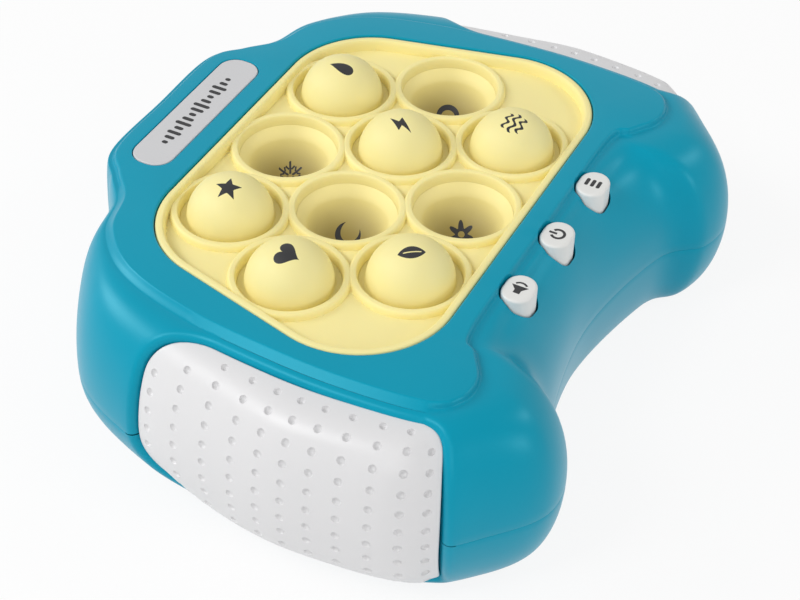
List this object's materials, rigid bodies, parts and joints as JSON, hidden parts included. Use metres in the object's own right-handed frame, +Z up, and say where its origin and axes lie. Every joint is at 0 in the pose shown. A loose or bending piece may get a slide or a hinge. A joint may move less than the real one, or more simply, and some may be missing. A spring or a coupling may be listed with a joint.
{
  "type": "bubble pop game console",
  "caption": "Hand-held electronic game: rounded two-part case with dimpled grips, a silicone pad of pop-through bubbles, push buttons and a battery bay.",
  "frame": {"origin": "under the middle of the case, on the surface it stands on", "axes": "+X to the player's right, +Y away from the player towards the label, +Z up out of the face plate"},
  "size_m": [0.1492, 0.1186, 0.048],
  "materials": {
    "case_plastic": "satin moulded ABS, teal blue",
    "grip_plastic": "satin moulded ABS, white",
    "label_plastic": "smooth light grey plate",
    "pad_silicone": "matte moulded silicone, cream yellow",
    "button_plastic": "satin moulded ABS, light grey",
    "frame_plastic": "moulded ABS, dark grey",
    "board_laminate": "green glass laminate",
    "contact_carbon": "printed carbon",
    "lamp_plastic": "clear moulded lamp body",
    "chip_resin": "black potting resin",
    "switch_plastic": "moulded nylon, black",
    "screw_steel": "zinc plated",
    "speaker_steel": "pressed steel",
    "cone_film": "pressed film, black",
    "cell_jacket": "printed jacket, bare of words",
    "contact_steel": "nickel plated",
    "ribbon_film": "flat flexible cable",
    "lead_pvc": "PVC jacket, red"
  },
  "bodies": {
    "case": {"top_shell": "case_plastic", "bottom_shell": "case_plastic", "left_grip_panel": "grip_plastic", "right_grip_panel": "grip_plastic", "label_plate": "label_plastic", "bubble_pad": "pad_silicone", "pad_frame": "frame_plastic", "game_board": "board_laminate", "bubble_contacts": "contact_carbon", "bubble_leds": "lamp_plastic", "sound_chip": "chip_resin", "frame_screws": "screw_steel", "board_screws": "screw_steel", "button_switches": "contact_steel", "button_board": "board_laminate", "button_board_screws": "screw_steel", "button_ribbon": "ribbon_film", "speaker": "speaker_steel", "speaker_cone": "cone_film", "battery_1": "cell_jacket", "battery_2": "cell_jacket", "battery_3": "cell_jacket", "battery_contacts": "contact_steel", "battery_springs": "contact_steel", "case_screws": "screw_steel", "speaker_lead": "lead_pvc", "battery_lead": "lead_pvc"},
    "bubble_1_membrane": {"bubble_1": "pad_silicone"},
    "bubble_2_membrane": {"bubble_2": "pad_silicone"},
    "bubble_3_membrane": {"bubble_3": "pad_silicone"},
    "bubble_4_membrane": {"bubble_4": "pad_silicone"},
    "bubble_5_membrane": {"bubble_5": "pad_silicone"},
    "bubble_6_membrane": {"bubble_6": "pad_silicone"},
    "bubble_7_membrane": {"bubble_7": "pad_silicone"},
    "bubble_8_membrane": {"bubble_8": "pad_silicone"},
    "bubble_9_membrane": {"bubble_9": "pad_silicone"},
    "bubble_10_membrane": {"bubble_10": "pad_silicone"},
    "sound_key": {"sound_button": "button_plastic", "sound_switch_stem": "switch_plastic"},
    "power_key": {"power_button": "button_plastic", "power_switch_stem": "switch_plastic"},
    "mode_key": {"mode_button": "button_plastic", "mode_switch_stem": "switch_plastic"},
    "battery_cover": {"battery_door": "case_plastic", "door_screw": "screw_steel"}
  },
  "joints": [
    {"name": "bubble_1_pop", "type": "slide", "parent": "case", "child": "bubble_1_membrane", "axis": [0, 0, 1], "range_m": [-0.0192, 0], "deforming": ["bubble_1"]},
    {"name": "bubble_2_pop", "type": "slide", "parent": "case", "child": "bubble_2_membrane", "axis": [0, 0, 1], "range_m": [0, 0.0192], "deforming": ["bubble_2"]},
    {"name": "bubble_3_pop", "type": "slide", "parent": "case", "child": "bubble_3_membrane", "axis": [0, 0, 1], "range_m": [-0.0192, 0], "deforming": ["bubble_3"]},
    {"name": "bubble_4_pop", "type": "slide", "parent": "case", "child": "bubble_4_membrane", "axis": [0, 0, 1], "range_m": [-0.0192, 0], "deforming": ["bubble_4"]},
    {"name": "bubble_5_pop", "type": "slide", "parent": "case", "child": "bubble_5_membrane", "axis": [0, 0, 1], "range_m": [0, 0.0192], "deforming": ["bubble_5"]},
    {"name": "bubble_6_pop", "type": "slide", "parent": "case", "child": "bubble_6_membrane", "axis": [0, 0, 1], "range_m": [-0.0192, 0], "deforming": ["bubble_6"]},
    {"name": "bubble_7_pop", "type": "slide", "parent": "case", "child": "bubble_7_membrane", "axis": [0, 0, 1], "range_m": [0, 0.0192], "deforming": ["bubble_7"]},
    {"name": "bubble_8_pop", "type": "slide", "parent": "case", "child": "bubble_8_membrane", "axis": [0, 0, 1], "range_m": [-0.0192, 0], "deforming": ["bubble_8"]},
    {"name": "bubble_9_pop", "type": "slide", "parent": "case", "child": "bubble_9_membrane", "axis": [0, 0, 1], "range_m": [0, 0.0192], "deforming": ["bubble_9"]},
    {"name": "bubble_10_pop", "type": "slide", "parent": "case", "child": "bubble_10_membrane", "axis": [0, 0, 1], "range_m": [-0.0192, 0], "deforming": ["bubble_10"]},
    {"name": "sound_press", "type": "slide", "parent": "case", "child": "sound_key", "axis": [0, 0, 1], "range_m": [-0.0006, 0], "stiffness_N_per_m": 600, "springref_m": 0.0003},
    {"name": "power_press", "type": "slide", "parent": "case", "child": "power_key", "axis": [0, 0, 1], "range_m": [-0.0006, 0], "stiffness_N_per_m": 600, "springref_m": 0.0003},
    {"name": "mode_press", "type": "slide", "parent": "case", "child": "mode_key", "axis": [0, 0, 1], "range_m": [-0.0006, 0], "stiffness_N_per_m": 600, "springref_m": 0.0003},
    {"name": "battery_door_hinge", "type": "hinge", "parent": "case", "child": "battery_cover", "pos_m": [-0.02585, 0.00201, 0.0013], "axis": [0, 1, 0], "range_deg": [0, 100]}
  ]
}
